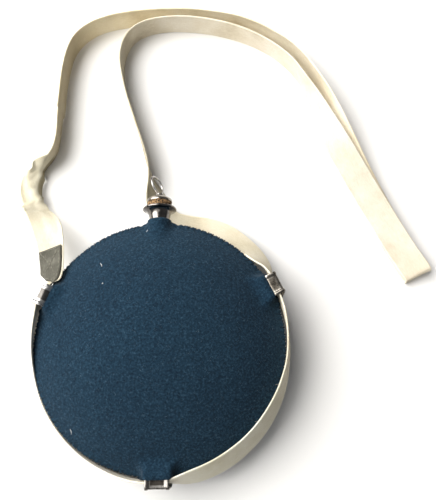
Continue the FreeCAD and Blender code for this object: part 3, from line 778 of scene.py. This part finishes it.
def felt_half(name, half):
    """One felt half, with an opening for the neck and its own thickness."""
    segments = 720
    radii = [0.003 + 0.0895 * index / 45 for index in range(46)]
    radii += [0.0925 + (COVER_RADIUS - 0.0925) * index / 12 for index in range(1, 13)]
    points = [half.point(0.0, 0.0)]
    for radius in radii:
        points += [half.point(radius, 360 * index / segments) for index in range(segments)]
    faces = [(0, 1 + (index + 1) % segments, 1 + index) for index in range(segments)]
    for face in tube_faces(len(radii), segments, capped=False):
        corners = [corner + 1 for corner in face]
        middle = sum((points[corner] for corner in corners), Vector()) / 4
        from_axis = math.hypot(middle.x, middle.z - RIM_Z)
        if middle.y < NECK_HOLE[0] or from_axis > NECK_HOLE[1]:
            faces.append(corners)
    piece = mesh_piece(name, points, faces)
    thicken = piece.modifiers.new("felt", "SOLIDIFY")
    thicken.thickness = FELT_THICKNESS
    thicken.offset = -1
    return piece


def lathe(name, profile, segments=96, wobble=None):
    """A piece turned about the neck's axis from (y, radius) points in millimetres."""
    points = []
    for y, radius in profile:
        for index in range(segments):
            turn = 2 * math.pi * index / segments
            spread = radius / 1000
            if wobble:
                spread += wobble(turn, y / 1000, spread)
            points.append((math.sin(turn) * spread, y / 1000, RIM_Z + math.cos(turn) * spread))
    return mesh_piece(name, points, tube_faces(len(profile), segments, capped=False))


def dented(depth, around, along):
    """A wobble for lathe: shallow dents of this depth, and of these counts per unit."""
    return lambda turn, y, spread: depth * noise.noise(
        (math.sin(turn) * around, math.cos(turn) * around, y * along))


def cork_wobble(turn, y, spread):
    """Cork's uneven surface, with pits."""
    spot = Vector((math.sin(turn) * spread, y, math.cos(turn) * spread))
    pit = noise.noise(spot * 620)
    return 0.00012 * noise.noise(spot * 240) - 0.0005 * smooth_step(0.30, 0.62, pit)


def rounded(points, radius):
    """An open line in a plane with its corners rounded off."""
    steps = 5
    line = [Vector(points[0])]
    for before, corner, after in zip(points, points[1:], points[2:]):
        corner = Vector(corner)
        back = Vector(before) - corner
        ahead = Vector(after) - corner
        cut = min(radius, back.length * 0.45, ahead.length * 0.45)
        start = corner + back.normalized() * cut
        end = corner + ahead.normalized() * cut
        for step in range(steps + 1):
            share = step / steps
            line.append(start * (1 - share) ** 2 + corner * (2 * share * (1 - share))
                        + end * share ** 2)
    line.append(Vector(points[-1]))
    return line


def strip_loop(name, angle, seed):
    """A tin loop: a strip with folded edges, bent round the strap, its feet under the felt."""
    half = STRIP_HALF_HEIGHT
    feet = [[(out, Half(up).dome(out) - STRIP_SUNK) for out in STRIP_FOOT] for up in (1, -1)]
    front_side, back_side = ([*foot, (STRIP_KNEE, half - 0.0006), (STRIP_REACH, half)]
                             for foot in feet)
    corners = front_side + [(out, -height) for out, height in reversed(back_side)]
    bent = rounded(corners, STRIP_CORNER)
    line = []
    for start, end in zip(bent, bent[1:]):
        parts = max(1, round((end - start).length / 0.0016))
        line += [start.lerp(end, step / parts) for step in range(parts)]
    line.append(Vector(corners[-1]))
    hem = [(1.0, -0.1), (1.0, 0.25), (0.97, 0.42), (0.90, 0.48), (0.80, 0.46), (0.745, 0.34),
           (0.725, 0.10), (0.60, 0.06), (0.30, 0.05)]
    section = [(-share, out) for share, out in hem] + [(0.0, 0.05)] + hem[::-1]
    section += [(0.98, -0.36), (0.6, -0.4), (0.0, -0.4), (-0.6, -0.4), (-0.98, -0.36)]
    outline = [(share * STRIP_HALF_WIDTH, out / 1000) for share, out in section]
    points = []
    uvs = []
    for index, place in enumerate(line):
        ahead = heading(line, index)
        normal = Vector((-ahead.y, ahead.x)).normalized()
        plate = smooth_step(*PLATE_GROWS, place.x) * (1 - (place.y / half) ** 4)
        shelf = smooth_step(*SHELF_GROWS, place.x) * smooth_step(*SHELF_TOP, abs(place.y))
        for sideways, out in outline:
            hollow = 1 - (sideways / STRIP_HALF_WIDTH) ** 2
            dent = noise.noise((sideways * 160 + seed, place.x * 160, place.y * 160))
            moved = out - hollow * (0.0007 * plate + 0.00025 * shelf) + 0.00012 * dent
            spot = place + normal * moved
            points.append(at_rim(angle, spot.x, sideways, RIM_Z + spot.y))
            uvs.append((sideways, spot.x))
    return mesh_piece(name, points, tube_faces(len(line), len(outline)), uvs)


def wire(line, radius, sides, taper):
    """Points and faces of a round wire or thread along a line, thinner at its ends by taper."""
    points = []
    frame_side = None
    for index, place in enumerate(line):
        tangent = heading(line, index).normalized()
        if frame_side is None:
            frame_side = tangent.orthogonal().normalized()
        frame_side = (frame_side - tangent * frame_side.dot(tangent)).normalized()
        other = tangent.cross(frame_side)
        end = min(index, len(line) - 1 - index)
        spread = radius * (1 - taper * (1 - min(end / 3, 1.0)))
        for side in range(sides):
            turn = 2 * math.pi * side / sides
            points.append(place + (frame_side * math.cos(turn) + other * math.sin(turn)) * spread)
    return points, tube_faces(len(line), sides)


def many_wires(name, lines, radius, sides, taper):
    """Many threads or fibres as one piece."""
    points = []
    faces = []
    for line in lines:
        new_points, new_faces = wire(line, radius, sides, taper)
        faces += [tuple(corner + len(points) for corner in face) for face in new_faces]
        points += new_points
    return mesh_piece(name, points, faces)


def whip_stitches(front, back, dice):
    """Curved stitches over the rim, leaving out the neck and the loops."""
    lines = []
    for index in range(STITCHES):
        angle = 360.0 * index / STITCHES + dice.uniform(-0.35, 0.35)
        from_loop = min(abs(angle - place) for place in LOOP_ANGLES.values())
        if from_loop < 8.2 or min(angle, 360 - angle) < 9:
            continue
        slant = dice.uniform(0.3, 0.8)
        inset = dice.uniform(-0.0006, 0.0006)
        line = []
        for half, radii in ((front, (0.0975, 0.0980, 0.0987, 0.0995, 0.1001)),
                            (back, (0.1001, 0.0992, 0.0980, 0.0974, 0.0968))):
            for radius in radii:
                share = (COVER_RADIUS - radius) / 0.0030 * half.up
                place = half.point(radius + inset, angle - share * slant)
                middle = (1 - abs(share)) if abs(share) < 1 else 0
                lift = Vector((place.x, place.y, (place.z - RIM_Z) * 1.2 + half.up * 0.01))
                line.append(place + lift.normalized() * (-0.0002 + 0.0007 * middle))
        line.insert(5, at_rim(angle, COVER_RADIUS + 0.0005, 0, RIM_Z))
        lines.append(line)
    return many_wires("cover_stitching", lines, 0.00048, sides=7, taper=0.3)


def felt_nap(front, back, dice):
    """Short loose fibres that stand off the felt."""
    lines = []
    for index in range(4200):
        half = front if index % 6 else back
        radius = COVER_RADIUS * math.sqrt(dice.uniform(0.0, 0.98))
        if half is back and radius < 0.045:
            continue
        angle = dice.uniform(0, 360)
        if from_fittings(angle) < 8 and radius > 0.078:
            continue
        start = half.point(radius, angle)
        up = Vector((start.x, start.y, start.z - RIM_Z - half.up * half.centre)).normalized()
        drift = Vector([dice.gauss(0, 1) for axis in range(3)])
        drift = (drift - up * drift.dot(up)).normalized()
        length = dice.uniform(0.0008, 0.0026)
        curl = up.cross(drift) * dice.uniform(-0.5, 0.5)
        line = []
        for step in range(4):
            share = step / 3
            line.append(start + up * (length * (0.5 * share - 0.32 * share * share) - 0.00005)
                        + (drift + curl * share) * (length * share))
        lines.append(line)
    return many_wires("felt_nap", lines, 0.000035, sides=3, taper=0.6)


def surface_thread(places, start, along, across, lift):
    """A point on the tape, by metres along and across it, lifted off its outer face."""
    distance = start + along
    for before, after in zip(places, places[1:]):
        if after[3] >= distance:
            share = (distance - before[3]) / max(after[3] - before[3], 1e-9)
            return on_tape((before[0].lerp(after[0], share),
                            before[1].lerp(after[1], share).normalized(),
                            before[2].lerp(after[2], share).normalized(), distance),
                           across, lift)
    return places[-1][0]


# The camera and the sling

dice = random.Random(7)
add_camera()
sling_controls = SLING_ROUTE + rim_route()
sling_line = smooth_line([point for point, across in sling_controls])
sling_across = [ACROSS_CHANGES.get(index, across)
                for index, (point, across) in enumerate(sling_controls)]
sling_sides = smooth_line(sling_across)
sling_places = stations(sling_line, sling_sides)
sling = tape("sling", sling_places, TAPE_WIDTH, TAPE_THICKNESS, limp_shape)
# The cotton tape, with painted light and shade tinted along the sling.
cotton = tape_look("cotton_tape", [
    (0.30, (0.60, 0.52, 0.37)), (0.45, (0.76, 0.69, 0.54)), (0.60, (0.84, 0.785, 0.66))],
    (0.72, 0.66, 0.52), SLING_SHADING_AND_WEAR)
settle(sling, cotton, "canteen", "cotton_tape", "strap_free_run", "strap_rim_run")

# The lap and its sewing

lap_places = [place for place in sling_places
              if LAP_START <= place[3] <= LAP_START + LAP_LENGTH]
lap = tape("sling_lap", lap_places, LAP_WIDTH, LAP_THICKNESS,
           lambda along, across: 0.00035 * noise.noise((along * 120, across * 3, 0.4)), LAP_LIFT)
# The lap is coloured dark grey.
grey_lap_look = tape_look("grey_lap_tape", [
    (0.34, (0.050, 0.047, 0.036)), (0.50, (0.105, 0.102, 0.082)), (0.66, (0.25, 0.24, 0.20))],
    (0.55, 0.50, 0.42))
settle(lap, grey_lap_look, "canteen", "worn_tape", "strap_lap")

sewing = []
near = SEWING_INSET
far = LAP_LENGTH - SEWING_INSET
side = LAP_WIDTH / 2 - 0.0017
rows = [((near, -side), (far, -side)), ((near, side), (far, side)),
        ((near, -side), (near, side)), ((far, -side), (far, side)),
        ((near, -side), (far, side)), ((near, side), (far, -side))]
for start, end in rows:
    for index in range(SEWING_STITCHES):
        low, high = (index + 0.12) / SEWING_STITCHES, (index + 0.80) / SEWING_STITCHES
        stitch = []
        for part, depth in ((0.0, 0.0), (0.25, 0.00035), (0.75, 0.00035), (1.0, 0.0)):
            share = low + (high - low) * part
            along = start[0] + (end[0] - start[0]) * share
            across = start[1] + (end[1] - start[1]) * share + dice.uniform(-0.0002, 0.0002)
            stitch.append(surface_thread(sling_places, LAP_START, along, across,
                                         LAP_LIFT - 0.00075 - depth))
        sewing.append(stitch)
lap_sewing = many_wires("sling_lap_sewing", sewing, 0.00028, sides=6, taper=0.5)
settle(lap_sewing, fibre_look("pale_thread", (0.20, 0.19, 0.15), (0.38, 0.36, 0.30)),
       "canteen", "pale_thread", "strap_lap_stitches")

# Loose threads at the tape's edges

frays = []
for index in range(46):
    spot = dice.choice(sling_places[30:])
    edge = dice.choice((-1, 1))
    start = spot[0] + spot[1] * edge * (TAPE_WIDTH / 2 - 0.0004)
    loose = Vector([dice.gauss(0, 1) for axis in range(3)]).normalized()
    drift = (spot[1] * edge * 0.8 + loose * 0.9).normalized() * dice.uniform(0.0012, 0.0036)
    bend = spot[2] * dice.uniform(-0.0008, 0.0008)
    frays.append([start, start + drift * 0.4 + bend, start + drift * 0.8 + bend * 0.6,
                  start + drift])
for line in frays:
    for point in line:
        point.z = max(point.z, 0.0002)
sling_frays = many_wires("sling_frays", frays, 0.00009, sides=4, taper=0.4)
settle(sling_frays, fibre_look("loose_cotton", (0.62, 0.57, 0.46), (0.85, 0.81, 0.71)),
       "canteen", "cotton_tape")

# The felt cover

front = Half(1)
back = Half(-1)
wool = felt_look()
cover_front = felt_half("felt_front", front)
cover_back = felt_half("felt_back", back)
collar = lathe("felt_collar", [
    (96.5, 9.2), (97.0, 10.0), (98.5, 10.3), (100.5, 10.35), (102.2, 10.3), (103.1, 10.05),
    (103.6, 9.4), (103.7, 8.7), (103.4, 8.2), (102.0, 8.12), (96.5, 8.12), (96.5, 9.2)],
    wobble=dented(0.00022, 2.4, 160))
stitching = whip_stitches(front, back, dice)
nap = felt_nap(front, back, dice)
settle(cover_front, wool, "canteen", "felt", "cover_front")
settle(cover_back, wool, "canteen", "felt", "cover_back")
settle(collar, wool, "canteen", "felt", "cover_collar")
settle(stitching, fibre_look("dark_thread", (0.004, 0.012, 0.021), (0.014, 0.034, 0.054)),
       "canteen", "dark_thread", "cover_stitches")
settle(nap, fibre_look("loose_wool", (0.03, 0.065, 0.10), (0.16, 0.22, 0.27)), "canteen", "felt")

lint_lines = []
for x, y, length, turn in LINT:
    middle = front.over(x, y)
    aim = Vector((math.cos(turn), math.sin(turn), 0)) * length / 2
    line = []
    for share in (-1.0, -0.4, 0.2, 0.7, 1.0):
        spot = middle + aim * share
        spot.x += 0.0003 * math.sin(share * 4 + turn)
        spot.z = front.over(spot.x, spot.y).z + 0.0003
        line.append(spot)
    lint_lines.append(line)
lint = many_wires("white_lint", lint_lines, 0.00030, sides=6, taper=0.6)
settle(lint, fibre_look("white_lint", (0.55, 0.58, 0.60), (0.85, 0.87, 0.88)), "canteen", "felt")

# The tin loops

# Lit and shaded copies of one loop tin: the left loop, which faces the window, is lighter as
# painted light; the right loop is darker and the bottom loop darker still, as painted shade.
lit_left_tin = tin_look("lit_left_tin", (0.50, 0.49, 0.48), (0.86, 0.85, 0.83), 0.12,
                      middle=(0.22, 0.21, 0.20), room=(0.0046, 0.1034))
loop_tin = tin_look("loop_tin", (0.16, 0.145, 0.125), (0.42, 0.39, 0.345), 0.10,
                    middle=(0.55, 0.53, 0.50))
shaded_bottom_tin = tin_look("shaded_bottom_tin", (0.10, 0.093, 0.086), (0.30, 0.285, 0.265), 0.10,
                     middle=(0.16, 0.15, 0.14))
lit_and_shaded_loop_looks = {"left": lit_left_tin, "right": loop_tin, "bottom": shaded_bottom_tin}
for index, (place, angle) in enumerate(LOOP_ANGLES.items()):
    loop = strip_loop("tin_loop_" + place, angle, 3.7 * index)
    settle(loop, lit_and_shaded_loop_looks[place], "canteen", "loop_tin", "strap_loop_" + place)

# The neck

spout = lathe("pewter_neck", [
    (84.0, 8.05), (103.5, 8.1), (105.0, 8.45), (107.5, 9.1), (110.0, 9.9), (111.2, 10.7),
    (111.9, 11.7), (112.3, 12.9), (112.5, 13.7), (112.8, 14.1), (113.3, 14.25), (113.9, 14.2),
    (114.3, 13.85), (114.42, 13.2), (114.42, 11.6), (114.42, 9.95), (114.3, 9.6), (114.0, 9.45),
    (110.0, 8.75), (103.5, 7.2), (84.0, 7.2), (84.0, 8.05)],
    wobble=dented(0.00006, 3, 200))
pewter = tin_look("old_pewter", (0.10, 0.092, 0.085), (0.27, 0.25, 0.235), -0.04, 0.25,
                  (0.55, 0.50, 0.45))
settle(spout, pewter, "canteen", "pewter", "spout")

cork_profile = [(96.0, 0.95), (96.0, 6.2), (96.3, 6.65), (97.0, 6.85), (103.5, 6.9),
                (114.0, 9.15), (114.75, 9.45)]
cork_profile += [(115.1 + 0.42 * index, 10.05 + 0.06 * min(index, 3)) for index in range(14)]
cork_profile += [(120.95, 10.1), (121.0, 9.6), (121.0, 0.95), (96.0, 0.95)]
cork = lathe("cork", cork_profile, 128, cork_wobble)
settle(cork, cork_look(), "stopper", "cork", "stopper_cork")

cap = lathe("tin_cap", [
    (121.0, 9.4), (120.9, 10.28), (119.9, 10.32), (119.75, 10.45), (119.9, 10.6), (120.6, 10.65),
    (121.7, 10.5), (122.3, 10.0), (123.2, 8.9), (124.3, 7.2), (125.4, 5.2), (126.3, 3.6),
    (126.75, 2.6), (126.95, 1.6), (127.0, 0.95), (121.0, 0.95), (121.0, 9.4)],
    wobble=dented(0.00016, 1.6, 90))
cap_tin = tin_look("cap_tin", (0.17, 0.15, 0.125), (0.50, 0.46, 0.40), 0.04)
settle(cap, cap_tin, "stopper", "loop_tin", "stopper_cap")

# The pull ring: a wire eye that springs from a small boss on the end of its shank

eye = [(-0.9, 94.3), (-0.5, 105.0), (-0.3, 118.0), (-1.2, 126.2), (-3.4, 128.4), (-6.6, 131.2),
       (-8.6, 135.6), (-7.4, 140.8), (-3.6, 143.9), (0.6, 144.3), (5.0, 143.0), (8.0, 139.0),
       (8.4, 134.2), (6.2, 130.6), (3.2, 128.2), (1.6, 126.3)]
turned = Matrix.Translation((0, 0, RIM_Z)) @ Matrix.Rotation(math.radians(65), 4, "Y")
lean_from = Vector((0, 0.1275, RIM_Z))
lean = (Matrix.Translation(lean_from) @ Matrix.Rotation(math.radians(14), 4, "Z")
        @ Matrix.Translation(-lean_from))
ring_line = []
for point in smooth_line([Vector((across / 1000, up / 1000, 0)) for across, up in eye]):
    place = turned @ point
    share = smooth_step(0.1265, 0.1300, place.y)
    ring_line.append(place.lerp(lean @ place, share))
ring = many_wires("wire_ring", [ring_line], 0.00088, sides=14, taper=0.25)
boss = lathe("ring_boss", [(126.6, 0.0), (126.6, 3.1), (126.9, 3.35), (127.35, 3.3), (127.7, 2.9),
                           (127.95, 2.1), (128.05, 1.0), (128.08, 0.0)], 48)
bright_wire = tin_look("worn_wire", (0.18, 0.17, 0.16), (0.60, 0.58, 0.56), 0.02, 0.25)
settle(ring, bright_wire, "pull_ring", "wire", "pull_ring")
settle(boss, bright_wire, "pull_ring", "wire")

# Pieces kept from the CAD

bare_tin = tin_look("inner_tinplate", (0.30, 0.30, 0.29), (0.55, 0.55, 0.53), 0.22)
solder = tin_look("dull_solder", (0.25, 0.25, 0.25), (0.50, 0.50, 0.50), 0.30, 0.2,
                  (0.5, 0.5, 0.48))
for name, look in (("front_shell", bare_tin), ("back_shell", bare_tin), ("rim_solder", solder),
                   ("spout_solder", solder), ("loop_solder", solder),
                   ("stopper_washer", cap_tin), ("shank_clinch", bright_wire)):
    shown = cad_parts[name]
    shown.data.materials.clear()
    shown.data.materials.append(look)

# Floor and light

floor = mesh_piece("floor", [(-3, -3, 0), (3, -3, 0), (3, 3, 0), (-3, 3, 0)], [(0, 1, 2, 3)])
floor.data.materials.append(floor_look())

for name, place, power, size in (("window", WINDOW_PLACE, 32.5, (1.7, 1.4)),
                                 ("ceiling", (-0.60, -0.55, 1.30), 5.0, (1.4, 1.2))):
    panel = soft_light(name, "AREA", place, power)
    panel.shape = "RECTANGLE"
    panel.size, panel.size_y = size
daylight = soft_light("daylight", "SUN", WINDOW_PLACE, 2.0)
daylight.angle = math.radians(65)

world = bpy.data.worlds.new("room")
world.use_nodes = True
room = world.node_tree.nodes["Background"]
room.inputs["Color"].default_value = (0.98, 0.985, 1.0, 1)
room.inputs["Strength"].default_value = 0.13
bpy.context.scene.world = world
bpy.context.scene.view_settings.view_transform = "Standard"
